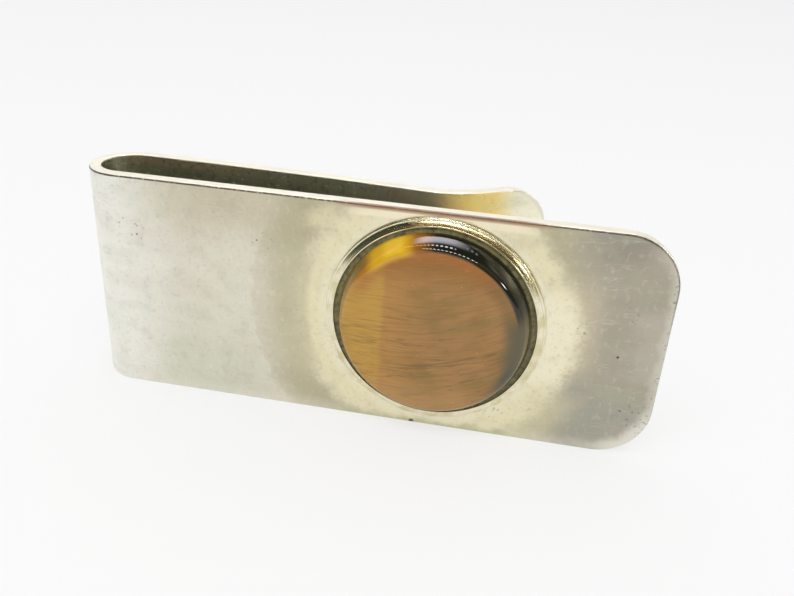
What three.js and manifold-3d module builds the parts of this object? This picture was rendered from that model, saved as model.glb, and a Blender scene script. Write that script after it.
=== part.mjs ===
// Money clip with a round stone: one strip of nickel silver folded into a U, and a tiger's-eye cabochon
// glued into a low round bezel on its front.
// Millimetres. The clip stands on its long edge: +X runs from the bend to the open end, +Y from the stone to
// the rear arm, +Z up. The group's origin is the middle of the underside of the whole clip's box.
//
// The pieces are drawn in the strip's own frame: x = 0 is the outside of the bend, y = 0 the front face of
// the plate and z = 0 the edge it stands on. The last lines move that frame to the origin named above.

import * as THREE from "three";
import { mergeVertices } from "three/addons/utils/BufferGeometryUtils.js";
import Module from "manifold-3d";

// ---------------------------------------------------------------- driving dimensions

// Strip
const CLIP_LENGTH = 55.4; // outside of the bend to the plate's free end
const STRIP_WIDTH = 22;
const STRIP_THICKNESS = 1.3; // 16 gauge sheet
const PLATE_CORNER_RADIUS = 5;

// Spring bend
const BEND_OUTER_RADIUS = 3.95;
const FLEX_GAP = 0.3; // between the two halves of the bend, where the clip flexes

// Rear arm, measured on the face that touches the notes
const ARM_LEAN_DEG = 2.8; // lean towards the plate, along the chord from the bend to the lip
const ARM_BOW = 0.3; // how far the arm swells away from that chord
const LIP_X = 32.15; // where the arm begins to curl away; it pinches the notes just past this line
const LIP_RADIUS = 8.2;
const LIP_DEG = 31; // the lip's final lift, so that notes slide in
const TIP_X = 43.6;
const TIP_CORNER_RADIUS = 4;

// Bezel, stacked outwards from the plate: solder, backing disc, ring
const BEZEL_X = 34.65;
const BEZEL_Z = 11.35; // 0.35 above the strip's middle, as it was set by eye
const SOLDER_RADIUS = 10.05;
const SOLDER_THICKNESS = 0.05;
const DISC_RADIUS = 10.2;
const DISC_THICKNESS = 0.25;
const DISC_EDGE_RADIUS = 0.15;
const RING_HEIGHT = 0.3; // above the disc
const RING_FOOT_RADIUS = 10; // its outer side slopes like a moulding
const RING_TOP_RADIUS = 9.62;
const RING_INNER_RADIUS = 9.38;

// Stone and its glue
const GLUE_RADIUS = 9.2;
const GLUE_THICKNESS = 0.1;
const STONE_RADIUS = 8.95; // at its foot: an 18 mm cut
const STONE_SIDE_INSET = 0.5; // its side leans in this far up to the shoulder
const STONE_SHOULDER_RADIUS = 0.75;
const STONE_TOP = 2.5; // crown above the plate's face
const STONE_CROWN = 0.1; // the top is almost flat
const STONE_FOOT_CHAMFER = 0.15;

// Facets
const TURNED_SEGMENTS = 64;
const CORNER_SEGMENTS = 12;
const BEND_SEGMENTS = 14; // in each half of the bend
const ARM_SEGMENTS = 10;
const LIP_SEGMENTS = 10;
const SHOULDER_SEGMENTS = 6;

// ---------------------------------------------------------------- materials

const nickelSilver = new THREE.MeshStandardMaterial({ color: 0xd3cfc0, roughness: 0.34, metalness: 1 });
const bezelMetal = new THREE.MeshStandardMaterial({ color: 0xdcd6ab, roughness: 0.24, metalness: 1 });
const solder = new THREE.MeshStandardMaterial({ color: 0x9b9880, roughness: 0.5, metalness: 1 });
const glue = new THREE.MeshStandardMaterial({ color: 0x4a4a2c, roughness: 0.6, metalness: 0 });
const tigersEye = new THREE.MeshStandardMaterial({ color: 0xa57a45, roughness: 0.08, metalness: 0 });

// ---------------------------------------------------------------- solids

const wasm = await Module();
wasm.setup();

// A closed geometry as a solid that can be cut and joined.
function solidOf(geometry) {
  const bare = geometry.clone();
  bare.deleteAttribute("normal");
  bare.deleteAttribute("uv");
  const merged = mergeVertices(bare, 1e-4);
  return new wasm.Manifold(
    new wasm.Mesh({
      numProp: 3,
      vertProperties: merged.attributes.position.array,
      triVerts: new Uint32Array(merged.index.array),
    }),
  );
}

function geometryOf(solid) {
  const { vertProperties, triVerts } = solid.getMesh();
  const geometry = new THREE.BufferGeometry();
  geometry.setAttribute("position", new THREE.BufferAttribute(vertProperties, 3));
  geometry.setIndex(new THREE.BufferAttribute(triVerts, 1));
  const faceted = geometry.toNonIndexed();
  faceted.computeVertexNormals();
  return faceted;
}

function piece(name, geometry, material) {
  const mesh = new THREE.Mesh(geometry, material);
  mesh.name = name;
  return mesh;
}

// A side view of the strip, drawn in x and y, carried through the strip's whole width.
function acrossWidth(points) {
  return new THREE.ExtrudeGeometry(new THREE.Shape(points), { depth: STRIP_WIDTH, bevelEnabled: false });
}

// The strip's outline seen from the front, drawn in x and z, carried from y = near to y = far.
function alongDepth(outline, near, far) {
  const options = { depth: far - near, bevelEnabled: false, curveSegments: CORNER_SEGMENTS };
  return new THREE.ExtrudeGeometry(outline, options).rotateX(Math.PI / 2).translate(0, far, 0);
}

// A strip end: square at x = start, with two round corners at x = end. On a stretch that is tilted out of
// the x-z plane the corner is foreshortened to an ellipse, so its reach along x is given apart.
function roundedEnd(start, end, radius, reach = radius) {
  const outline = new THREE.Shape();
  outline.moveTo(start, 0);
  outline.lineTo(end - reach, 0);
  outline.absellipse(end - reach, radius, reach, radius, -Math.PI / 2, 0);
  outline.lineTo(end, STRIP_WIDTH - radius);
  outline.absellipse(end - reach, STRIP_WIDTH - radius, reach, radius, 0, Math.PI / 2);
  outline.lineTo(start, STRIP_WIDTH);
  outline.closePath();
  return outline;
}

// A turned piece on the bezel's axis. The profile is [radius, height above the plate] and runs from the
// plate side outwards; y falls as height grows.
function turned(profile) {
  const points = profile.map(([radius, height]) => new THREE.Vector2(radius, -height));
  const geometry = new THREE.LatheGeometry(points.reverse(), TURNED_SEGMENTS);
  return geometry.translate(BEZEL_X, 0, BEZEL_Z);
}

// ---------------------------------------------------------------- strip

const BEND_INNER_RADIUS = BEND_OUTER_RADIUS - STRIP_THICKNESS;
const lean = THREE.MathUtils.degToRad(ARM_LEAN_DEG);
const lipLift = THREE.MathUtils.degToRad(LIP_DEG);

const frontPlate = piece(
  "front_plate",
  alongDepth(roundedEnd(BEND_OUTER_RADIUS, CLIP_LENGTH, PLATE_CORNER_RADIUS), 0, STRIP_THICKNESS),
  nickelSilver,
);

// A point of the bend: 0 is where it leaves the plate, 90 its outermost line and 180 + the arm's lean
// where it meets the rear arm.
function onBend(radius, angle) {
  return new THREE.Vector2(
    BEND_OUTER_RADIUS - radius * Math.sin(angle),
    BEND_OUTER_RADIUS - radius * Math.cos(angle),
  );
}

// The arm leaves the bend along its bow, so it starts a little steeper outwards than its chord.
const chordLength = (LIP_X - BEND_OUTER_RADIUS) / Math.cos(lean);
const bowRadius = chordLength ** 2 / (8 * ARM_BOW);
const bowHalfAngle = Math.asin(chordLength / 2 / bowRadius);
const armStartAngle = Math.PI + lean - bowHalfAngle;

function bendHalf(from, to) {
  const outer = [];
  const inner = [];
  for (let i = 0; i <= BEND_SEGMENTS; i++) {
    const angle = from + ((to - from) * i) / BEND_SEGMENTS;
    outer.push(onBend(BEND_OUTER_RADIUS, angle));
    inner.push(onBend(BEND_INNER_RADIUS, angle));
  }
  return acrossWidth([...outer, ...inner.reverse()]);
}

// The flex line is at 90 degrees; half the gap there is given to each side.
const bendMiddleRadius = (BEND_OUTER_RADIUS + BEND_INNER_RADIUS) / 2;
const halfGapAngle = FLEX_GAP / 2 / bendMiddleRadius;
const bendFront = piece("bend_front_half", bendHalf(0, Math.PI / 2 - halfGapAngle), nickelSilver);
const bendRear = piece("bend_rear_half", bendHalf(Math.PI / 2 + halfGapAngle, armStartAngle), nickelSilver);

// The inner face of the rear arm as points with their headings: bow, curled lip and its straight end.
// Headings are measured from +X towards +Y.
function armInnerFace() {
  const path = [{ at: onBend(BEND_INNER_RADIUS, armStartAngle), heading: bowHalfAngle - lean }];
  const step = (length, heading) => {
    const last = path[path.length - 1].at;
    const at = new THREE.Vector2(last.x + length * Math.cos(heading), last.y + length * Math.sin(heading));
    path.push({ at, heading });
  };
  const turn = (length, from, to, segments) => {
    for (let i = 1; i <= segments; i++) {
      step(length / segments, from + ((to - from) * (i - 0.5)) / segments);
    }
  };
  const lipStart = -lean - bowHalfAngle;
  turn((LIP_X - path[0].at.x) / Math.cos(lean), bowHalfAngle - lean, lipStart, ARM_SEGMENTS);
  turn(LIP_RADIUS * (lipLift - lipStart), lipStart, lipLift, LIP_SEGMENTS);
  step((TIP_X - path[path.length - 1].at.x) / Math.cos(lipLift), lipLift);
  return path;
}

// Points of the outer face stand off square to the inner face; at a corner they stand off along the mitre.
function armOutline() {
  const inner = armInnerFace();
  const outer = inner.map(({ at, heading }, i) => {
    const next = inner[Math.min(i + 1, inner.length - 1)].heading;
    const ahead = i === 0 ? heading : next;
    const middle = (heading + ahead) / 2;
    const reach = STRIP_THICKNESS / Math.cos((ahead - heading) / 2);
    return new THREE.Vector2(at.x - reach * Math.sin(middle), at.y + reach * Math.cos(middle));
  });
  return [...inner.map(({ at }) => at), ...outer.reverse()];
}

const armSide = solidOf(acrossWidth(armOutline()));
const tipReach = TIP_CORNER_RADIUS * Math.cos(lipLift);
const armPlan = solidOf(alongDepth(roundedEnd(0, TIP_X, TIP_CORNER_RADIUS, tipReach), 0, CLIP_LENGTH));
const rearArm = piece("rear_arm", geometryOf(armSide.intersect(armPlan)), nickelSilver);

// ---------------------------------------------------------------- bezel and stone

const discFoot = SOLDER_THICKNESS;
const discTop = discFoot + DISC_THICKNESS;
const ringTop = discTop + RING_HEIGHT;
const stoneFoot = discTop + GLUE_THICKNESS;

const solderLayer = piece(
  "solder_layer",
  turned([
    [0, 0],
    [SOLDER_RADIUS, 0],
    [SOLDER_RADIUS, SOLDER_THICKNESS],
    [0, SOLDER_THICKNESS],
  ]),
  solder,
);

const bezelDisc = piece(
  "bezel_disc",
  turned([
    [0, discFoot],
    [DISC_RADIUS, discFoot],
    [DISC_RADIUS, discTop - DISC_EDGE_RADIUS],
    [DISC_RADIUS - DISC_EDGE_RADIUS, discTop],
    [0, discTop],
  ]),
  bezelMetal,
);

const bezelRing = piece(
  "bezel_ring",
  turned([
    [RING_INNER_RADIUS, discTop],
    [RING_FOOT_RADIUS, discTop],
    [RING_TOP_RADIUS, ringTop],
    [RING_INNER_RADIUS, ringTop],
    [RING_INNER_RADIUS, discTop],
  ]),
  bezelMetal,
);

const stoneGlue = piece(
  "stone_glue",
  turned([
    [0, discTop],
    [GLUE_RADIUS, discTop],
    [GLUE_RADIUS, stoneFoot],
    [0, stoneFoot],
  ]),
  glue,
);

// Foot, leaning side, shoulder arc, and a top that rises a little to its crown. The arc starts square to
// the plate, because the side meets it almost upright.
function stoneProfile() {
  const shoulderTop = STONE_TOP - STONE_CROWN;
  const sideRadius = STONE_RADIUS - STONE_SIDE_INSET;
  const profile = [
    [0, stoneFoot],
    [STONE_RADIUS - STONE_FOOT_CHAMFER, stoneFoot],
    [STONE_RADIUS, stoneFoot + STONE_FOOT_CHAMFER],
  ];
  for (let i = 0; i <= SHOULDER_SEGMENTS; i++) {
    const angle = ((Math.PI / 2) * i) / SHOULDER_SEGMENTS;
    const radius = sideRadius - STONE_SHOULDER_RADIUS * (1 - Math.cos(angle));
    const height = shoulderTop - STONE_SHOULDER_RADIUS * (1 - Math.sin(angle));
    profile.push([radius, height]);
  }
  profile.push([0, STONE_TOP]);
  return profile;
}

const stone = piece("stone", turned(stoneProfile()), tigersEye);

// ---------------------------------------------------------------- clip

const strip = new THREE.Group();
strip.add(frontPlate, bendFront, bendRear, rearArm);

const setting = new THREE.Group();
setting.add(solderLayer, bezelDisc, bezelRing, stoneGlue, stone);

const clip = new THREE.Group();
clip.add(strip, setting);

// From the strip's frame to the origin under the middle of the clip's box.
const box = new THREE.Box3().setFromObject(clip);
const middle = box.getCenter(new THREE.Vector3());
clip.position.set(-middle.x, -middle.y, -box.min.z);

export default clip;
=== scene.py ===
# %% [markdown]
# # A money clip with a tiger's-eye stone
# The clip is one strip of nickel silver folded into a U. A low round bezel is soldered to its front and
# holds a flat-topped stone. The CAD model already holds every size and every place, so the finished meshes
# are made around it, in metres and in the same frame.

# %% The frame
import math

import bmesh
import bpy
from mathutils import Matrix, Vector, noise


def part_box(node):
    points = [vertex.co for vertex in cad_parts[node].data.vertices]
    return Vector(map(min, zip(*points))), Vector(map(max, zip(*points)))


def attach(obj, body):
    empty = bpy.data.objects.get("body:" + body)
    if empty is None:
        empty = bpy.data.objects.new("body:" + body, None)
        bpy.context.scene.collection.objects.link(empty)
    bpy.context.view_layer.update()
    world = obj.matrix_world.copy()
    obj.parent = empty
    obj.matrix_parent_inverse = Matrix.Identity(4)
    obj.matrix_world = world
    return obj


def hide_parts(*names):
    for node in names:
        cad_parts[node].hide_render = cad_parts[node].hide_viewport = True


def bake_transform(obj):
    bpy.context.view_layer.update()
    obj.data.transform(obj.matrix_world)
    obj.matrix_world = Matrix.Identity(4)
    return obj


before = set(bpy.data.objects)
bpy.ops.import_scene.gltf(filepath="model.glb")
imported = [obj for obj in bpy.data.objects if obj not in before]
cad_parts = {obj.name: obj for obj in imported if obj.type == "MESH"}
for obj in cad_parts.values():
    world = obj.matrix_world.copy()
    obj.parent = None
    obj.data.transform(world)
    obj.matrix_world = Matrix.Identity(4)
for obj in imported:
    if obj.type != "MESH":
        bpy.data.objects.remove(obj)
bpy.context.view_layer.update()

MM = 0.001
print("CAD nodes:", ", ".join(sorted(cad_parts)))

# %% [markdown]
# ## Where things are
# The plate's box gives the strip's width, its thickness and the place of its front face. The disc's box
# gives the bezel's axis. Everything else is measured from those, so the meshes stay true to the CAD model.

# %% Places taken from the frame
plate_low, plate_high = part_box("front_plate")
disc_low, disc_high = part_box("bezel_disc")

plate_face = plate_low.y
strip_thickness = plate_high.y - plate_low.y
strip_width = plate_high.z - plate_low.z
bezel_x = (disc_low.x + disc_high.x) / 2
bezel_z = (disc_low.z + disc_high.z) / 2
print(f"strip {strip_width / MM:.1f} mm wide and {strip_thickness / MM:.2f} mm thick")
print(f"bezel axis at x {bezel_x / MM:.2f}, z {bezel_z / MM:.2f} mm")

# %% [markdown]
# ## The strip, as a flat blank
# A maker saws the blank from flat sheet, rounds its corners, breaks its edges on a buff, and only then
# folds it. Four separate solids with a gap, as in the CAD model, would show seams. So the blank is made
# here the maker's way: one face, its corners bevelled, given a thickness, its arrises softened, and cut
# across wherever it will bend.

# %% Lengths along the blank
BEND_RADIUS = 3.95 * MM  # outside of the bend
PLATE_CORNER = 5 * MM
TIP_CORNER = 4 * MM
ARM_LEAN = math.radians(2.8)  # the arm leans towards the plate
ARM_BOW = 0.3 * MM  # and swells this far away from a straight line
LIP_START = 32.15 * MM  # from the outside of the bend
LIP_RADIUS = 8.2 * MM
LIP_LIFT = math.radians(31)
TIP_REACH = 43.6 * MM

half = strip_thickness / 2
arm_chord = (LIP_START - BEND_RADIUS) / math.cos(ARM_LEAN)
bow_turn = 2 * math.asin(4 * ARM_BOW / arm_chord)
bend_turn = math.pi + ARM_LEAN - bow_turn / 2
lip_turn = LIP_LIFT + ARM_LEAN + bow_turn / 2
bend_length = bend_turn * (BEND_RADIUS - half)
bow_length = arm_chord + bow_turn * half
lip_length = lip_turn * (LIP_RADIUS - half)
lip_rise = math.sin(LIP_LIFT) + math.sin(ARM_LEAN + bow_turn / 2)
tip_length = (TIP_REACH - LIP_START - LIP_RADIUS * lip_rise) / math.cos(LIP_LIFT)

# Each stretch is its length along the middle of the sheet, how far it turns, and how many cuts it gets.
STRETCHES = [
    (plate_high.x - plate_low.x, 0, 17),
    (bend_length, -bend_turn, 60),
    (bow_length, -bow_turn, 14),
    (lip_length, lip_turn, 14),
    (tip_length, 0, 3),
]
blank_length = sum(length for length, turn, cuts in STRETCHES)
print(f"the blank is {blank_length / MM:.1f} mm long")

# %% The blank with round corners
blank = bmesh.new()
bmesh.ops.create_grid(blank, x_segments=1, y_segments=1, size=0.5)
bmesh.ops.scale(blank, vec=(blank_length, strip_width, 1), verts=blank.verts)
bmesh.ops.translate(blank, vec=(blank_length / 2, strip_width / 2, 0), verts=blank.verts)

for at_tip, radius in ((False, PLATE_CORNER), (True, TIP_CORNER)):
    corners = [v for v in blank.verts if (v.co.x > blank_length / 2) == at_tip]
    bmesh.ops.bevel(
        blank, geom=corners, offset=radius, segments=20, profile=0.5, affect="VERTICES", material=-1,
    )
print("outline points:", len(blank.verts))

# %% Its thickness and softened arrises
ARRIS_RADIUS = 0.15 * MM

raised = bmesh.ops.extrude_face_region(blank, geom=blank.faces[:])
raised_verts = [g for g in raised["geom"] if isinstance(g, bmesh.types.BMVert)]
bmesh.ops.translate(blank, vec=(0, 0, strip_thickness), verts=raised_verts)
bmesh.ops.recalc_face_normals(blank, faces=blank.faces)

arrises = [e for e in blank.edges if e.calc_face_angle() > math.radians(60)]
bmesh.ops.bevel(
    blank, geom=arrises, offset=ARRIS_RADIUS, segments=5, profile=0.5, affect="EDGES", material=-1,
)
print("arrises softened:", len(arrises))

# %% Cuts across the blank, close together where it bends
start = 0
for length, turn, cuts in STRETCHES:
    for cut in range(cuts):
        across = start + length * cut / cuts
        if across > PLATE_CORNER and across < blank_length - TIP_CORNER:
            everything = blank.verts[:] + blank.edges[:] + blank.faces[:]
            bmesh.ops.bisect_plane(
                blank, geom=everything, dist=1e-8, plane_co=(across, 0, 0), plane_no=(1, 0, 0),
            )
    start += length
print("blank faces:", len(blank.faces))

# %% [markdown]
# ## Folding it
# Bending sheet keeps the length along the middle of its thickness. So a point that lies a distance s along
# the blank goes where a walk of length s along the stretches ends, and its depth in the sheet is laid off
# square to the walk. Before that, each point's place on the flat blank is kept in an attribute, so that
# scratches and stains can follow the metal round the bend, as they do on a strip that was polished flat.

# %% A walk along the folded strip
def walk(s):
    """The point at length s along the middle of the sheet, as x, y and heading, from the plate's free end."""
    x, y, heading = plate_high.x, plate_face + half, math.pi
    for index, (length, turn, cuts) in enumerate(STRETCHES):
        last = index == len(STRETCHES) - 1
        run = s if last else min(s, length)
        bend = turn * run / length
        chord = run if turn == 0 else 2 * length / turn * math.sin(bend / 2)
        x += chord * math.cos(heading + bend / 2)
        y += chord * math.sin(heading + bend / 2)
        heading += bend
        s -= run
    return x, y, heading


THINNING = 0.17  # a tight bend stretches the sheet and leaves its middle this much thinner
bend_start = STRETCHES[0][0]
flat_place = blank.verts.layers.float_vector.new("flat_mm")
for vert in blank.verts:
    along, across, depth = vert.co
    vert[flat_place] = (along / MM, across / MM, depth / MM)
    x, y, heading = walk(along)
    share = min(max((along - bend_start) / bend_length, 0), 1)
    outwards = half - depth * (1 - THINNING * math.sin(math.pi * share))
    vert.co = (x - outwards * math.sin(heading), y + outwards * math.cos(heading), plate_low.z + across)

# %% The strip as an object
def finished(name, mesh_maker):
    """An object at the origin from a finished bmesh, with smooth shading."""
    mesh = bpy.data.meshes.new(name)
    bmesh.ops.recalc_face_normals(mesh_maker, faces=mesh_maker.faces)
    for face in mesh_maker.faces:
        face.smooth = True
    mesh_maker.to_mesh(mesh)
    mesh_maker.free()
    made = bpy.data.objects.new(name, mesh)
    bpy.context.scene.collection.objects.link(made)
    print(f"{name}: {len(mesh.vertices)} points, {len(mesh.polygons)} faces")
    return made


strip = finished("folded_strip", blank)

# %% [markdown]
# The flat faces are large and the arrises small, so plain smooth shading would smear the arris's turn over
# the whole plate. Weighted normals let the large faces keep their own direction.

# %% Flat faces that look flat
weighted = strip.modifiers.new("flat faces stay flat", "WEIGHTED_NORMAL")
weighted.weight = 100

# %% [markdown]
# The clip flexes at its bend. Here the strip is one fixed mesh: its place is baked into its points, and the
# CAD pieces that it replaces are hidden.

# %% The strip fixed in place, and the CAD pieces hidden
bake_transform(strip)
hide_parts("front_plate", "bend_front_half", "bend_rear_half", "rear_arm")

# %% [markdown]
# ## Turned pieces
# The disc, the ring, the glue and the stone are all round, so each is an outline of radius and height above
# the plate, spun once around the bezel's axis. A boolean or a scaled cylinder couldn't give the moulding on
# the ring or the ground shoulder of the stone.

# %% Spinning an outline
def arc(radius, height, size, start, end, steps=6):
    """Points of an arc about (radius, height). In degrees, 0 is outwards and 90 away from the plate."""
    turns = [math.radians(start + (end - start) * i / steps) for i in range(steps + 1)]
    return [(radius + size * math.cos(a), height + size * math.sin(a)) for a in turns]


def turned(outline, steps=144, closed=False):
    """A piece spun around the bezel's axis from points (radius, height) in mm, from the plate outwards."""
    maker = bmesh.new()
    points = [maker.verts.new((bezel_x + r * MM, plate_face - h * MM, bezel_z)) for r, h in outline]
    pairs = list(zip(points, points[1:])) + ([(points[-1], points[0])] if closed else [])
    edges = [maker.edges.new(pair) for pair in pairs]
    bmesh.ops.spin(
        maker, geom=points + edges, cent=(bezel_x, plate_face, bezel_z), axis=(0, 1, 0),
        angle=2 * math.pi, steps=steps, use_merge=True,
    )
    bmesh.ops.remove_doubles(maker, verts=maker.verts, dist=1e-7)
    return maker


# %% [markdown]
# ## Solder
# Silver solder drew in under the disc and left a thin fillet in the corner around it, a little uneven as
# solder is. The outline is a flat film with a hollow fillet at its edge, and leaves that unevenness out.

# %% The solder film and its fillet
DISC_RADIUS = 10.2
FILM = 0.05

solder_outline = [(0, 0), (10.17, 0), (10.1, 0.02), (10.05, FILM), (0, FILM)]
solder_maker = turned(solder_outline)
solder = finished("solder_film", solder_maker)
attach(solder, "front")
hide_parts("solder_layer")

# %% [markdown]
# ## Bezel
# The bezel is a punched disc with a ring of moulded wire on it. The disc's rim is rounded over. The ring
# slopes up from the rim to a thin rounded crest, and its inner wall drops straight to the disc. The slope
# is what catches the lamp at the top and the dark room at the sides.

# %% The disc
DISC_TOP = 0.3
RIM = 0.12

disc_outline = [(0, FILM), (DISC_RADIUS - 0.04, FILM), (DISC_RADIUS, FILM + 0.04)]
disc_outline += arc(DISC_RADIUS - RIM, DISC_TOP - RIM, RIM, 0, 90, 6)
disc_outline += [(0, DISC_TOP)]
disc = finished("bezel_disc_turned", turned(disc_outline))
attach(disc, "front")
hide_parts("bezel_disc")

# %% The ring
RING_TOP = 0.6
RING_FOOT = 10.0
RING_INSIDE = 9.38
CREST = 0.07  # radius of the crest's roundness
CREST_WIDTH = 0.12

ring_outline = [(RING_INSIDE, DISC_TOP)]
ring_outline += [(RING_FOOT, DISC_TOP), (9.99, DISC_TOP + 0.04), (9.95, DISC_TOP + 0.08)]  # a rounded foot
ring_outline += [(9.62, DISC_TOP + 0.245)]  # the top of the slope
ring_outline += arc(RING_INSIDE + CREST_WIDTH, RING_TOP - CREST, CREST, 40, 90, 4)
ring_outline += arc(RING_INSIDE + CREST, RING_TOP - CREST, CREST, 90, 180, 4)
ring = finished("bezel_ring_turned", turned(ring_outline, closed=True))
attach(ring, "front")
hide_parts("bezel_ring")

# %% [markdown]
# ## Glue
# Epoxy was spread on the disc and the stone pressed into it. It squeezed up unevenly into the gap between
# the stone and the ring, and creeps up both. An outline spun to a hollow surface gives the creep, and a
# little noise on its points gives the unevenness.

# %% The glue line
GLUE_TOP = 0.4

glue_outline = [(0, DISC_TOP), (9.36, DISC_TOP)]
glue_outline += [(9.36, 0.47), (9.28, 0.415), (9.16, 0.4), (9.04, 0.43), (8.96, 0.5)]  # a hollow line
glue_outline += [(8.7, 0.4), (0, GLUE_TOP)]
glue_maker = turned(glue_outline, steps=180)
for vert in glue_maker.verts:
    height = plate_face - vert.co.y
    if height > 0.39 * MM:
        lump = noise.noise(vert.co / (1.1 * MM)) * 0.05 * MM
        vert.co.y -= lump + 0.02 * MM
glue = finished("glue_line", glue_maker)
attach(glue, "front")
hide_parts("stone_glue")

# %% [markdown]
# ## Stone
# A buff-top stone is ground to a round with leaning sides, its shoulder is rolled over on the wheel, and
# its top is left almost flat. The outline is that: foot, leaning side, shoulder arc and a very shallow
# crown.

# %% The stone
STONE_TOP = 2.5
CROWN = 0.1
FOOT_RADIUS = 8.95
SHOULDER = 0.75
SIDE_RADIUS = 8.45
SIDE_BULGE = 0.04

shoulder_radius = SIDE_RADIUS - SHOULDER
shoulder_height = STONE_TOP - CROWN - SHOULDER
lean = math.degrees(math.atan2(FOOT_RADIUS - SIDE_RADIUS, shoulder_height - GLUE_TOP)) + 6
shoulder = arc(shoulder_radius, shoulder_height, SHOULDER, lean, 89, 14)
foot = (FOOT_RADIUS, GLUE_TOP + 0.12)
stone_outline = [(0, GLUE_TOP), (FOOT_RADIUS - 0.12, GLUE_TOP), foot]
for t in (0.2, 0.4, 0.6, 0.8):
    swell = SIDE_BULGE * 4 * t * (1 - t)
    side_point = (foot[0] + (shoulder[0][0] - foot[0]) * t + swell, foot[1] + (shoulder[0][1] - foot[1]) * t)
    stone_outline.append(side_point)
stone_outline += shoulder
crown_steps = 10
for i in range(1, crown_steps + 1):
    share = 1 - i / crown_steps
    stone_outline.append((shoulder_radius * share, STONE_TOP - CROWN * share ** 2))
stone = finished("stone_cabochon", turned(stone_outline))
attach(stone, "front")
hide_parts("stone")

# %% [markdown]
# ## Materials
# Every finish here is a plain colour with stains laid over it, and in places painted light and shade, each
# where its own soft steps allow. One helper turns an sRGB hex colour into the linear values a shader wants,
# one adds a node with its settings and links, and one lays the stains and the painted light and shade.

# %% Helpers for materials
def linear(hex_colour):
    """An sRGB hex colour as linear red, green, blue and alpha."""
    parts = [int(hex_colour[i:i + 2], 16) / 255 for i in (1, 3, 5)]
    return [c / 12.92 if c <= 0.04045 else ((c + 0.055) / 1.055) ** 2.4 for c in parts] + [1]


def node(tree, kind, inputs, output=0, **settings):
    """Adds a node and returns an output. Inputs are values or linked outputs, settings the node's own."""
    made = tree.nodes.new(kind)
    for name, value in settings.items():
        setattr(made, name, value)
    for socket, value in inputs.items():
        if isinstance(value, bpy.types.NodeSocket):
            tree.links.new(value, made.inputs[socket])
        else:
            made.inputs[socket].default_value = value
    return made.outputs[output]


def material(name, *pieces):
    """An empty node material on these pieces: its tree and its Principled shader."""
    made = bpy.data.materials.new(name)
    made.use_nodes = True
    for piece in pieces:
        piece.data.materials.clear()
        piece.data.materials.append(made)
    return made.node_tree, made.node_tree.nodes["Principled BSDF"]


def stained(tree, colour, stains):
    """Lays stains and painted light and shade over a colour; each has a name, colour, strength and steps
    (value, from, to).
    """
    for name, stain, strength, *steps in stains:
        amount = strength
        for value, start, end in steps:
            inputs = {"Value": value, "From Min": start, "From Max": end}
            step = node(tree, "ShaderNodeMapRange", inputs, interpolation_type="SMOOTHSTEP")
            amount = node(tree, "ShaderNodeMath", {0: amount, 1: step}, operation="MULTIPLY")
        stain = linear(stain) if isinstance(stain, str) else stain
        colour = node(tree, "ShaderNodeMix", {0: amount, 6: colour, 7: stain}, output=2, data_type="RGBA")
    print(len(stains), "stains:", ", ".join(stain[0] for stain in stains))
    return colour


# %% [markdown]
# ## Nickel silver, satin-rubbed
# Copper, zinc and nickel: a warm white metal. It was rubbed lengthwise with fine abrasive, then carried in
# a pocket for years. The soldering torch stained it straw yellow around the bezel and left a grey-brown
# bloom beyond, the free end is tarnished mauve-grey with a dark reflection painted into it, and handling
# keeps the rims bright. Light and shade are painted in too: a highlight on the bend and one over the bezel,
# a sheen in the smears, shade inside the fold and dark reflections along the upper arris. The stains and
# the painted light follow the sheet, so they are placed on the flat blank: millimetres along it, across it
# and into its depth.

# %% Places on the flat blank
tree, metal = material("nickel silver, satin and tarnished", strip)
flat = node(tree, "ShaderNodeAttribute", {}, output="Vector", attribute_name="flat_mm")
along, across, depth = (node(tree, "ShaderNodeSeparateXYZ", {0: flat}, output=axis) for axis in range(3))
bezel_on_blank = ((plate_high.x - bezel_x) / MM, (bezel_z - plate_low.z) / MM, 0)
from_bezel = node(tree, "ShaderNodeVectorMath", {0: flat, 1: bezel_on_blank}, operation="SUBTRACT")
from_bezel = node(tree, "ShaderNodeVectorMath", {0: from_bezel, 1: (1, 1, 0)}, operation="MULTIPLY")
from_bezel = node(tree, "ShaderNodeVectorMath", {0: from_bezel}, output="Value", operation="LENGTH")
print("bezel's centre on the blank:", [round(x, 2) for x in bezel_on_blank])

# %% How far out towards the rim
blank_half = (blank_length / MM / 2, strip_width / MM / 2, 0)
corner = PLATE_CORNER / MM
inner_half = (blank_half[0] - corner, blank_half[1] - corner, 0)
rimward = node(tree, "ShaderNodeVectorMath", {0: flat, 1: blank_half}, operation="SUBTRACT")
rimward = node(tree, "ShaderNodeVectorMath", {0: rimward}, operation="ABSOLUTE")
rimward = node(tree, "ShaderNodeVectorMath", {0: rimward, 1: inner_half}, operation="SUBTRACT")
rimward = node(tree, "ShaderNodeVectorMath", {0: rimward, 1: (0, 0, 0)}, operation="MAXIMUM")
rimward = node(tree, "ShaderNodeVectorMath", {0: rimward, 1: (1, 1, 0)}, operation="MULTIPLY")
rimward = node(tree, "ShaderNodeVectorMath", {0: rimward}, output="Value", operation="LENGTH")
print("the rim lies", corner, "mm out from the inner rectangle")

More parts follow.
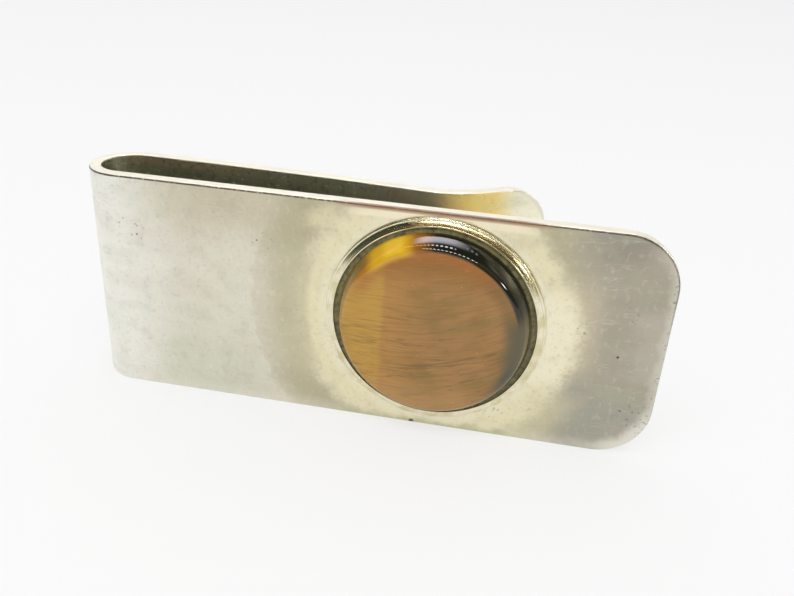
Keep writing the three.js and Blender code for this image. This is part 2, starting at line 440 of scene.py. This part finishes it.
# %% Patterns of noise, by size
# Each has the size of its patches in mm, its detail, how it is stretched, and where it is cut from the
# noise. Real rubbing marks are about 0.03 mm apart; these are drawn coarser so that they show.
STRIP_PATTERNS = {
    "clouds": (7, 2, (1, 1, 1), 3),
    "smudges": (1.6, 4, (1, 1, 1), 11),
    "speckle": (0.35, 3, (1, 1, 1), 23),
    "smears_and_sheen": (0.5, 4, (1, 0.6, 1), 37),
    "rubbing": (0.16, 3, (0.04, 1, 1), 5),
    "scratches": (0.35, 3, (0.05, 1, 1), 5),
    "film": (2.6, 5, (0.6, 1, 1), 53),
    "strokes": (1.1, 2, (0.12, 1, 1), 61),
}
pattern = {}
for name, (size, detail, stretch, seed) in STRIP_PATTERNS.items():
    placed = node(tree, "ShaderNodeMapping", {0: flat, "Location": (seed, seed, seed), "Scale": stretch})
    pattern[name] = node(tree, "ShaderNodeTexNoise", {"Vector": placed, "Scale": 1 / size, "Detail": detail})
clouds, smudges, speckle, film, strokes = (
    pattern[name] for name in ("clouds", "smudges", "speckle", "film", "strokes")
)
print("patterns:", ", ".join(pattern))

# %% Distances with ragged edges
# A stain's edge wanders with the metal's surface, so the distances that place the stains wander too.
WANDER = {
    "halo": (from_bezel, (("clouds", 2.4), ("smudges", 1.3), ("speckle", 0.6), ("smears_and_sheen", 0.8))),
    "arc": (from_bezel, (("smudges", -1.6),)),
    "end": (along, (("clouds", 3.0), ("smudges", 3.0))),
    "rim": (rimward, (("smudges", 1.4), ("speckle", 0.3))),
}
ragged = {}
for name, (value, shifts) in WANDER.items():
    for source, amount in shifts:
        shift = node(tree, "ShaderNodeMath", {0: pattern[source], 1: -0.5}, operation="ADD")
        value = node(tree, "ShaderNodeMath", {0: shift, 1: amount, 2: value}, operation="MULTIPLY_ADD")
    ragged[name] = value
halo, rim = ragged["halo"], ragged["rim"]
front = (depth, 0.9, 0.5)
print("ragged distances:", ", ".join(ragged))

# %% Stains on the strip, and a painted highlight and dark reflection
BLOOM_MIDDLE = 10.5  # mm across the blank
off_middle = node(tree, "ShaderNodeMath", {0: across, 1: -BLOOM_MIDDLE}, operation="ADD")
off_middle = node(tree, "ShaderNodeMath", {0: off_middle}, operation="ABSOLUTE")
colour = stained(tree, linear("#DDD8C6"), [
    ("faint clouds", "#E3DFCE", 0.7, (clouds, 0.4, 0.6)),
    # A painted highlight: the bend and the plate next to it are painted lighter, as bright metal looks at a
    # grazing angle.
    ("painted highlight towards the bend", "#F3F2E9", 1.0, (along, 42.5, 54.5), (along, 66, 60)),
    ("green-grey along the lower edge", "#D5D5C2", 0.8, (across, 9, 3), (along, 34, 40), (along, 50, 46)),
    ("handled upper edge", "#CDC3AA", 0.8, (across, 15.5, 20), (along, 52, 42), front),
    ("edge of the torch's heat", "#CFC8B0", 0.5, (ragged["arc"], 17.75, 17.4), front),
    ("grey-brown bloom", "#C8C0A4", 0.85, (halo, 12.0, 13.4), (halo, 17.6, 14.0), front),
    ("bloom, darker above and below", "#BBB394", 0.75, (halo, 12.4, 13.8), (halo, 18.5, 15),
     (off_middle, 4, 8), front),
    # The free end's mauve-grey is partly tarnish and partly a painted dark reflection of the room.
    ("mauve tarnish and painted dark reflection at the free end", "#AFA898", 1.0, (ragged["end"], 11.5, 6.5), front),
    ("darker along its top", "#9D978A", 0.8, (ragged["end"], 9.5, 6.5), (across, 18, 20.8),
     (along, 1.5, 4), front),
    ("greener along its bottom", "#A8A798", 0.8, (ragged["end"], 10, 7), (across, 8, 4), front),
    ("rubbed through in the middle", "#BFB9AB", 0.6, (ragged["end"], 4, 2), (across, 7, 9),
     (across, 16, 14), front),
    ("straw thinning out on the right", "#D2C7AA", 0.65, (along, 4.8, 7.2), (along, 20, 14),
     (across, 6.5, 9.5), (across, 19, 15), front),
    ("straw low on the right", "#D6CFAC", 0.7, (from_bezel, 16.8, 13.6), (along, 20, 14),
     (across, 6.5, 4), front),
    ("straw from the torch", "#EAE2BE", 1.0, (halo, 14.0, 11.8), front),
    ("straw by the upper edge", "#E3DAB6", 0.8, (across, 18.6, 20), (halo, 15.4, 13.8),
     (along, 29, 31), front),
    ("straw, palest at the right", "#F7F0D4", 0.75, (halo, 14.2, 11.6), (along, 14, 10),
     (across, 5, 8), (across, 17, 14), front),
    ("bloom over the straw on the left", "#CBC3A4", 0.75, (from_bezel, 11.6, 12.6), (from_bezel, 16, 14),
     (along, 31, 33), (off_middle, 8, 5), front),
    ("straw on the back", "#E4DDBE", 0.8, (halo, 13.8, 11.0), (depth, 0.5, 0.9), (along, 45, 40)),
    ("rubbed close to the bezel", "#F3EED6", 0.4, (from_bezel, 11.4, 10.5), front),
])

# %% Painted shade inside the fold, bright under the lip
within = (depth, 0.9, 1.2)
colour = stained(tree, colour, [
    # Inside the fold the metal is painted darker, as painted shade, and less so towards the lip.
    ("painted grey-green shade inside the fold", "#A9AA93", 1.0, within, (along, 45, 55), (along, 94, 89)),
    ("less painted shade towards the lip", "#C6C0B2", 0.7, within, (along, 80, 90), (along, 94, 89)),
    ("brown along its top", "#CBB797", 0.7, within, (along, 58, 61), (along, 76, 68), (across, 20.9, 21.4)),
    ("ochre under the lip", "#F4DC8F", 1.0, within, (along, 90, 94.5), (across, 6, 17)),
    ("pale at the lip's end", "#FCF8E2", 1.0, within, (along, 96.5, 99.4)),
    ("clean back at the free end", "#F8F6EC", 0.9, within, (along, 14, 9)),
])

# %% Mottling, fine rubbing marks and painted sheen
colour = stained(tree, colour, [
    ("smudges", "#B0AB9A", 0.16, (smudges, 0.5, 0.75)),
    ("pinkish film", "#CDB9AC", 0.14, (film, 0.5, 0.66), (from_bezel, 11, 15)),
    ("greenish film", "#BDC4A8", 0.14, (film, 0.48, 0.34), (from_bezel, 11, 15)),
    ("speckle", "#A39D8A", 0.2, (speckle, 0.52, 0.75)),
    ("fine scratches", "#FFFDF2", 0.13, (strokes, 0.492, 0.5), (strokes, 0.508, 0.5), (clouds, 0.42, 0.55)),
    ("specks of grime inside the fold", "#4A4832", 0.3, within, (speckle, 0.56, 0.66),
     (along, 45, 55), (along, 90, 82)),
    ("bright specks inside the fold", "#FBF3CC", 0.5, within, (speckle, 0.36, 0.3),
     (along, 45, 55), (along, 90, 82)),
    # The light smears are partly a painted sheen on the metal.
    ("smears_and_sheen", "#FFFBF0", 0.1, (pattern["smears_and_sheen"], 0.54, 0.7)),
    ("rubbing", "#FFFFF6", 0.07, (pattern["rubbing"], 0.58, 0.78)),
])

# %% Rims kept bright by handling, a painted highlight, and dark lines painted in the arrises
colour = stained(tree, colour, [
    ("bright free end", "#DCD8CA", 0.6, (rim, corner - 1.1, corner - 0.2), (along, 4.5, 2.5),
     (across, 21.5, 19)),
    ("bright lower corner", "#ECEADF", 0.55, (rim, corner - 1.7, corner - 0.5), (along, 6, 3),
     (across, 6.5, 3)),
    ("lower rim", "#EEEBDD", 0.3, (rim, corner - 1.5, corner - 0.2), (across, 5, 2), front),
    ("olive under the bezel", "#B9B88C", 0.7, (rim, corner - 0.9, corner - 0.1), (across, 3, 1),
     (from_bezel, 15, 12.5), front),
    # A painted highlight on the rounding of the upper edge over the bezel.
    ("painted highlight over the bezel", "#FBF2D6", 0.75, (across, 20.8, 21.1), (from_bezel, 13.4, 11.8), front),
    ("brown line over the bezel", "#AF8A70", 0.9, (across, 21.5, 21.75), (from_bezel, 15, 12.5), front),
    ("specks on the end's rim", "#6E6855", 0.6, (rimward, corner - 0.6, corner - 0.2), (along, 1.6, 1),
     (speckle, 0.58, 0.64), front),
    ("sawn edge", "#EEEADA", 1.0, (rimward, corner - 0.06, corner - 0.01)),
    # The dark line in the upper arris and round its corner is a painted dark reflection of the room in front.
    ("painted dark reflection in the upper arris", "#5B5443", 0.85, (rimward, corner - 0.22, corner - 0.14), (depth, 0.1, 0.05),
     (across, 20.8, 21.4), (speckle, 0.75, 0.5)),
    ("painted dark reflection round the upper corner", "#6B6558", 0.6, (rimward, corner - 0.2, corner - 0.12),
     (depth, 0.1, 0.05), (along, 7, 5), (across, 12, 17)),
    # A dark line is painted along the arm's upper inner arris.
    ("dark line inside the arm's edge", "#5E5C42", 0.7, (rimward, corner - 0.2, corner - 0.1),
     (depth, 1.18, 1.24), (across, 20.8, 21.4), (along, 58, 62), (along, 96, 90)),
    ("brown over the arris above the bezel", "#8F7560", 0.85, (rimward, corner - 0.2, corner - 0.12),
     (depth, 0.3, 0.2), (from_bezel, 15, 12.5), (across, 20.8, 21.4)),
])

# %% [markdown]
# Pits are pinpricks of corrosion. They come in clusters where sweat or a coin's edge got at the metal, so
# each cluster has a place and a size of its own.

# %% Pits
# Each cluster: its place along and across the blank, and its radius.
PIT_CLUSTERS = [
    (7.0, 12.6, 1.8), (3.6, 14.5, 1.4), (1.7, 4.2, 2.6), (14.2, 2.4, 1.6), (50, 17, 1.9), (37, 17, 1.5),
]
PIT_SPACING = 0.42

cells = {"Vector": flat, "Scale": 1 / PIT_SPACING}
pit_distance = node(tree, "ShaderNodeTexVoronoi", cells, output="Distance", feature="F1")
pit_colour = node(tree, "ShaderNodeTexVoronoi", cells, output="Color", feature="F1")
pit_choice = node(tree, "ShaderNodeSeparateColor", {0: pit_colour})
for place_along, place_across, reach in PIT_CLUSTERS:
    away = node(tree, "ShaderNodeVectorMath", {0: flat, 1: (place_along, place_across, 0)}, output="Value",
                operation="DISTANCE")
    colour = stained(tree, colour, [
        ("pits", "#5A5445", 0.75, (pit_distance, 0.3, 0.16), (pit_choice, 0.64, 0.68), (smudges, 0.44, 0.52),
         (away, reach, reach * 0.5)),
        ("nicks", "#7A7260", 0.5, (pit_distance, 0.4, 0.2), (pit_choice, 0.4, 0.36), (away, reach, 0), front),
    ])

# %% Two larger nicks
for place_along, place_across, reach in ((22.2, 0.15, 0.34), (4.0, 10.3, 0.17)):
    nick = node(tree, "ShaderNodeVectorMath", {0: flat, 1: (place_along, place_across, 0)}, output="Value",
                operation="DISTANCE")
    colour = stained(tree, colour, [("nick", "#3A3A26", 0.85, (nick, reach, reach * 0.4))])

# %% The roughness of rubbed metal
steps = {"Value": smudges, "From Min": 0.3, "From Max": 0.7, "To Min": 0.3, "To Max": 0.4}
rough = node(tree, "ShaderNodeMapRange", steps)
rough = node(tree, "ShaderNodeMath", {0: pattern["scratches"], 1: 0.12, 2: rough}, operation="MULTIPLY_ADD")
bump = node(tree, "ShaderNodeBump", {"Height": pattern["scratches"], "Strength": 0.06, "Distance": 0.0001})
for socket, source in (("Base Color", colour), ("Roughness", rough), ("Normal", bump)):
    tree.links.new(source, metal.inputs[socket])
metal.inputs["Metallic"].default_value = 1
print("strip's nodes:", len(tree.nodes))

# %% [markdown]
# ## Bezel metal, solder and glue
# The bezel is the same alloy, stained straw by the torch and polished bright on the moulding. The solder is
# a dull grey-green skin. The glue is yellowed epoxy, painted dark olive and nearly opaque: partly its own
# colour, partly the painted shade of the narrow gap between stone and ring and the stone's reflection in it.
# All three are blotchy in the same simple way: a noise chooses between two colours and two roughnesses. The
# ring's upper side is also painted browner, a painted shade that holds down its highlight there.

# %% Places around the bezel's axis
def around_bezel(tree):
    """From the bezel's centre: the place, how far to the side and up, and the radius, in mm; the angle."""
    place = node(tree, "ShaderNodeTexCoord", {}, output="Object")
    centre = {0: place, "Location": (bezel_x, plate_face, bezel_z), "Scale": (MM, MM, MM)}
    place = node(tree, "ShaderNodeMapping", centre, vector_type="TEXTURE")
    side, up = (node(tree, "ShaderNodeSeparateXYZ", {0: place}, output=axis) for axis in (0, 2))
    round_place = node(tree, "ShaderNodeVectorMath", {0: place, 1: (1, 0, 1)}, operation="MULTIPLY")
    radius = node(tree, "ShaderNodeVectorMath", {0: round_place}, output="Value", operation="LENGTH")
    angle = node(tree, "ShaderNodeMath", {0: up, 1: side}, operation="ARCTAN2")
    angle = node(tree, "ShaderNodeMath", {0: angle, 1: math.degrees(1)}, operation="MULTIPLY")
    return place, side, up, radius, angle


print("places around the bezel are in mm and degrees, the angle from the right and upwards")

# %% Three blotchy finishes
BLOTCHY = [
    ("nickel silver, polished and straw-stained", (disc, ring), 1.5, "#EDE6CC", "#D9D0A8", 1, (0.18, 0.26)),
    ("silver solder, dulled", (solder,), 0.8, "#A39E7C", "#7B7858", 1, (0.45, 0.55)),
    # The glue's dark olive is partly its own colour and partly the painted shade of the narrow gap.
    ("epoxy, yellowed, with the gap's shade painted in", (glue,), 0.5, "#4A4627", "#726A3D", 0, (0.25, 0.4)),
]
for name, pieces, size, first, second, metallic, roughness in BLOTCHY:
    tree, shader = material(name, *pieces)
    place, _, _, radius, angle = around_bezel(tree)
    blotches = node(tree, "ShaderNodeTexNoise", {"Vector": place, "Scale": 1 / size, "Detail": 3.0})
    stains = [("blotches", second, 1.0, (blotches, 0.35, 0.65))]
    # The ring's upper side is painted browner: a painted shade that holds down its highlight there.
    if ring in pieces:
        stains.append(
            ("painted shade on the ring's upper side", "#8C7C58", 0.8, (radius, 9.97, 9.9), (angle, 22, 50), (angle, 118, 104))
        )
    colour = stained(tree, linear(first), stains)
    steps = {"Value": blotches, "From Min": 0.3, "From Max": 0.7}
    steps |= {"To Min": roughness[0], "To Max": roughness[1]}
    tree.links.new(colour, shader.inputs["Base Color"])
    tree.links.new(node(tree, "ShaderNodeMapRange", steps), shader.inputs["Roughness"])
    shader.inputs["Metallic"].default_value = metallic
    print(name, "on", len(pieces), "piece(s)")

# %% [markdown]
# ## Tiger's eye, polished
# Quartz full of parallel fibres of crocidolite that has turned golden. Light comes back from the fibres in
# soft bands, so one side glows yellow and the other goes nearly black; here that glow, that dark side and
# the dark reflections on its flank are painted into the stone's colour. The fibres run nearly level and
# curve upwards to the right, so their pattern is stretched along a bent level line.

# %% Places on the stone
tree, quartz = material("tiger's eye, polished", stone)
place, side, up, radius, angle = around_bezel(tree)
print("the stone's pattern is centred on its axis, in mm")

# %% Fibres that curve up towards the right
rise = node(tree, "ShaderNodeMath", {0: side, 1: 3.0}, operation="ADD")
rise = node(tree, "ShaderNodeMath", {0: rise, 1: 0.0}, operation="MAXIMUM")
rise = node(tree, "ShaderNodeMath", {0: rise, 1: 2.0}, operation="POWER")
layer = node(tree, "ShaderNodeMath", {0: rise, 1: -0.028, 2: up}, operation="MULTIPLY_ADD")
level = node(tree, "ShaderNodeCombineXYZ", {0: side, 1: layer, 2: 0.0})

# Size in mm, detail, stretch and seed, as on the strip. Real fibres are 0.01 mm thick and are drawn
# coarser.
STONE_PATTERNS = {
    "fibres": (level, 0.11, 3, (0.05, 1, 1), 2),
    "bands": (level, 1.3, 3, (0.25, 1, 1), 7),
    "seams": (level, 0.8, 2, (0.07, 1, 1), 13),
    "hairs": (level, 0.4, 2, (0.09, 1, 1), 29),
    "zones": (place, 3.0, 2, (1, 1, 1), 17),
    "flaws": (place, 0.3, 2, (1, 1, 1), 41),
}
pattern = {}
for name, (vector, size, detail, stretch, seed) in STONE_PATTERNS.items():
    placed = node(tree, "ShaderNodeMapping", {0: vector, "Location": (seed, seed, seed), "Scale": stretch})
    pattern[name] = node(tree, "ShaderNodeTexNoise", {"Vector": placed, "Scale": 1 / size, "Detail": detail})
fibres, bands, seams, hairs, zones = (pattern[n] for n in ("fibres", "bands", "seams", "hairs", "zones"))
shift = node(tree, "ShaderNodeMath", {0: zones, 1: -0.5}, operation="ADD")
left_edge = node(tree, "ShaderNodeMath", {0: shift, 1: 1.2, 2: side}, operation="MULTIPLY_ADD")
print("patterns:", ", ".join(pattern))

# %% The body of the stone
colour = stained(tree, linear("#856329"), [
    ("warmer zones", "#936C37", 1.0, (zones, 0.38, 0.62)),
    ("pinkish bands", "#9C6E3E", 0.4, (bands, 0.42, 0.62)),
    ("olive bands", "#7C6430", 0.4, (bands, 0.5, 0.38)),
    ("golden left half", "#A37533", 0.9, (side, 0.5, -4.5)),
    # The mustard left edge is painted light: the yellow glow reaching onto the top.
    ("mustard left edge", "#AE8531", 0.95, (left_edge, -4.1, -4.7)),
    ("burnt upper part", "#87570B", 0.85, (up, 3.5, 7.2), (left_edge, -5.5, -4)),
    # The orange rim is painted light: light coming through the stone at its upper edge.
    ("orange rim", "#94560E", 0.6, (radius, 6.4, 7.6), (angle, 30, 50), (angle, 170, 140)),
    ("dark fibres", "#6B4A1C", 0.3, (fibres, 0.48, 0.7)),
    ("golden fibres", "#B5853F", 0.25, (fibres, 0.45, 0.3)),
    ("dark seams", "#4E3816", 0.38, (seams, 0.476, 0.497), (seams, 0.524, 0.503), (up, 5, -1)),
    ("fine dark hairs", "#553D19", 0.28, (hairs, 0.475, 0.497), (hairs, 0.525, 0.503), (up, 2, -2)),
    ("paler lower part", "#A8824E", 0.5, (up, -4, -7.5)),
    ("pale flaws", "#C9A878", 0.2, (pattern["flaws"], 0.7, 0.76)),
])

# %% Painted light and shade: the glowing side and the dark side
# Every mark here is painted light and shade: the glow is painted light, the grey and black flanks are painted
# shade and dark reflection.
shoulder_on = (radius, 7.3, 7.9)
colour = stained(tree, colour, [
    ("orange glow", "#A2621A", 0.85, shoulder_on, (angle, 88, 96), (angle, 150, 130)),
    ("yellow glow", "#C0951E", 1.0, (radius, 7.3, 7.9), (angle, 100, 111), (angle, 142, 130)),
    ("brightest glow", "#DDB638", 0.55, (radius, 7.8, 8.3), (angle, 108, 113), (angle, 127, 120)),
    ("brown flank", "#6A572E", 0.85, (radius, 8.1, 8.5), (angle, 128, 142)),
    ("grey edge", "#474432", 1.0, (radius, 6.9, 7.9), (angle, -54, -24), (angle, 24, 8)),
    ("grey, further in", "#564D32", 0.85, (radius, 6.1, 7.3), (angle, -32, -8), (angle, 26, 10)),
    ("dim beside the dark flank", "#6A4F22", 0.55, (radius, 6.2, 7.3), (angle, 8, 20), (angle, 60, 40)),
    ("brown between glow and dark", "#6A4616", 0.6, (radius, 7.5, 7.9), (angle, 92, 96), (angle, 108, 101)),
    ("black flank", "#181911", 1.0, (radius, 7.75, 8.0), (angle, 8, 22), (angle, 102, 90)),
])
tree.links.new(colour, quartz.inputs["Base Color"])
quartz.inputs["Roughness"].default_value = 0.04
quartz.inputs["IOR"].default_value = 1.54
print("stone's nodes:", len(tree.nodes))

# %% [markdown]
# ## The studio
# A pale floor that runs out of sight, and a large soft lamp above the front. The floor glows a little, as
# an overlit white sweep does, which keeps the shadows faint.

# %% Floor
bpy.ops.mesh.primitive_plane_add(size=6)
floor = bpy.context.object
floor.name = "floor"
tree, paper = material("white paper sweep", floor)
paper.inputs["Base Color"].default_value = linear("#8C8C8C")
paper.inputs["Roughness"].default_value = 0.9
paper.inputs["Specular IOR Level"].default_value = 0.0
paper.inputs["Emission Color"].default_value = (1, 1, 1, 1)
paper.inputs["Emission Strength"].default_value = 0.63

# %% Lamp
def area_light(name, direction, distance, size, watts, seen_in_reflections=True):
    """A rectangular lamp that looks at the clip from an azimuth and elevation in degrees."""
    azimuth, elevation = (math.radians(a) for a in direction)
    back = Vector((math.sin(azimuth) * math.cos(elevation), -math.cos(azimuth) * math.cos(elevation),
                   math.sin(elevation)))
    lamp = bpy.data.lights.new(name, "AREA")
    lamp.shape = "RECTANGLE"
    lamp.size, lamp.size_y = size
    lamp.energy = watts
    made = bpy.data.objects.new(name, lamp)
    made.location = back * distance + Vector((0, 0, 0.011))
    made.rotation_euler = back.to_track_quat("Z", "Y").to_euler()
    made.visible_glossy = seen_in_reflections
    bpy.context.scene.collection.objects.link(made)
    return made


area_light("overhead softbox", (0, 62), 0.5, (0.5, 0.26), 1.2, seen_in_reflections=False)

# %% [markdown]
# ## What the metal sees around it
# Polished pieces look like the room. Seen from the clip, the room is pale behind and below, dark olive in
# front, and overhead there is a panel and rows of small lamps, which show as dashes on the stone's
# shoulder. Two small glints give the bright specks at its right. Only reflections see this room; the plain
# light comes from an even white.

# %% Directions in the room
world = bpy.data.worlds.new("studio surroundings")
bpy.context.scene.world = world
world.use_nodes = True
tree = world.node_tree
tree.nodes.clear()
direction = node(tree, "ShaderNodeTexCoord", {}, output="Generated")
rightwards, backwards, skywards = (
    node(tree, "ShaderNodeSeparateXYZ", {0: direction}, output=axis) for axis in range(3)
)
forwards = node(tree, "ShaderNodeMath", {0: backwards, 1: -1.0}, operation="MULTIPLY")
turn = node(tree, "ShaderNodeMath", {0: rightwards, 1: forwards}, operation="ARCTAN2")
turn = node(tree, "ShaderNodeMath", {0: turn, 1: math.degrees(1)}, operation="MULTIPLY")
climb = node(tree, "ShaderNodeMath", {0: skywards}, operation="ARCSINE")
climb = node(tree, "ShaderNodeMath", {0: climb, 1: math.degrees(1)}, operation="MULTIPLY")
print("the room is described by turn to the right and climb above the level, in degrees")

# %% Walls and floor of the room
seen = stained(tree, (0.035, 0.045, 0.022, 1), [
    ("right wall", (0.16, 0.14, 0.06, 1), 1.0, (turn, 5, 35)),
    ("dark ceiling", (0.03, 0.03, 0.022, 1), 1.0, (climb, 35, 60)),
    ("shelves", (0.4, 0.34, 0.21, 1), 1.0, (turn, -31, -23), (turn, 38, 30),
     (climb, 16, 24), (climb, 54, 46)),
    ("right shelves", (0.5, 0.43, 0.26, 1), 1.0, (turn, 32, 40), (turn, 70, 60),
     (climb, 14, 22), (climb, 52, 44)),
    ("pale card", (1.25, 1.2, 1.12, 1), 1.0, (turn, -24, -18), (turn, 15, 9), (climb, 2, 8), (climb, 21, 15)),
    ("open side behind", (0.93, 0.93, 0.91, 1), 1.0, (backwards, -0.1, 0.2), (climb, 50, 38)),
    ("pale floor", (0.95, 0.95, 0.95, 1), 1.0, (climb, 4, -1)),
    ("glint at the right", (34, 34, 34, 1), 1.0, (turn, 114, 116), (turn, 122, 120), (climb, 20, 22),
     (climb, 28.5, 26.5)),
    ("second glint", (34, 34, 34, 1), 1.0, (turn, 50, 52), (turn, 60, 58), (climb, 15, 17), (climb, 22, 20)),
])

# %% Panel and rows of lamps overhead
# Measured on the ceiling, for each unit of height: how far to the right and how far behind. The lamps stand
# a little further apart towards the right.
ceiling_x = node(tree, "ShaderNodeMath", {0: rightwards, 1: skywards}, operation="DIVIDE")
ceiling_y = node(tree, "ShaderNodeMath", {0: backwards, 1: skywards}, operation="DIVIDE")
LAMP_SPACING = 0.075
WIDENING = 0.25
widening = node(tree, "ShaderNodeMath", {0: ceiling_x, 1: -WIDENING, 2: 1.0}, operation="MULTIPLY_ADD")
phase = node(tree, "ShaderNodeMath", {0: ceiling_x, 1: widening}, operation="MULTIPLY")
phase = node(tree, "ShaderNodeMath", {0: phase, 1: LAMP_SPACING}, operation="DIVIDE")
phase = node(tree, "ShaderNodeMath", {0: phase}, operation="FRACT")
above = (skywards, 0.0, 0.05)
dashes = ((phase, 0.1, 0.25), (phase, 0.75, 0.6))
seen = stained(tree, seen, [
    ("panel", (7, 6.7, 7.3, 1), 1.0, above, (ceiling_y, 0.28, 0.42), (ceiling_y, 0.8, 0.6),
     (ceiling_x, -0.62, -0.3), (ceiling_x, 0.5, 0.0)),
    ("front row", (26, 26, 26, 1), 1.0, above, (ceiling_y, -1.03, -0.98), (ceiling_y, -0.8, -0.85),
     (ceiling_x, -0.42, -0.38), (ceiling_x, 0.7, 0.66), *dashes),
    ("back row", (15, 15, 15, 1), 1.0, above, (ceiling_y, 0.12, 0.15), (ceiling_y, 0.26, 0.23),
     (ceiling_x, -0.75, -0.7), (ceiling_x, 0.2, 0.16), *dashes),
    ("side row", (2.5, 2.5, 2.5, 1), 1.0, above, (ceiling_y, 0.37, 0.39), (ceiling_y, 0.46, 0.43),
     (ceiling_x, 0.18, 0.22), (ceiling_x, 0.66, 0.6), *dashes),
])

# %% Two skies in one world
in_reflections = node(tree, "ShaderNodeLightPath", {}, output="Is Glossy Ray")
plain = node(tree, "ShaderNodeBackground", {"Color": linear("#F7F7F7"), "Strength": 1.0})
reflected = node(tree, "ShaderNodeBackground", {"Color": seen, "Strength": 1.0})
both = node(tree, "ShaderNodeMixShader", {0: in_reflections, 1: plain, 2: reflected})
output = tree.nodes.new("ShaderNodeOutputWorld")
tree.links.new(both, output.inputs["Surface"])
print("world nodes:", len(tree.nodes))

# %% [markdown]
# ## The camera
# It stands a hand's breadth away, a little to the right and above, and is rolled slightly.

# %% Camera
AIM = Vector((bezel_x - 3.55 * MM, plate_face, 13.3 * MM))
AZIMUTH, ELEVATION, ROLL = (math.radians(a) for a in (9.44, 26.1, 3.35))
DISTANCE = 72.6 * MM

back = Vector((math.sin(AZIMUTH) * math.cos(ELEVATION), -math.cos(AZIMUTH) * math.cos(ELEVATION),
               math.sin(ELEVATION)))
right = (-back).cross(Vector((0, 0, 1))).normalized()
upward = right.cross(-back)
turned_right = math.cos(ROLL) * right + math.sin(ROLL) * upward
turned_up = math.cos(ROLL) * upward - math.sin(ROLL) * right
camera = bpy.data.objects.new("camera", bpy.data.cameras.new("camera"))
camera.data.sensor_width = 36
camera.data.lens = 35.955
camera.data.clip_start = 0.001
camera.data.clip_end = 10
rotation = Matrix((turned_right, turned_up, back)).transposed()
camera.matrix_world = Matrix.Translation(AIM + back * DISTANCE) @ rotation.to_4x4()
bpy.context.scene.collection.objects.link(camera)
bpy.context.scene.camera = camera
bpy.context.scene.view_settings.view_transform = "Standard"
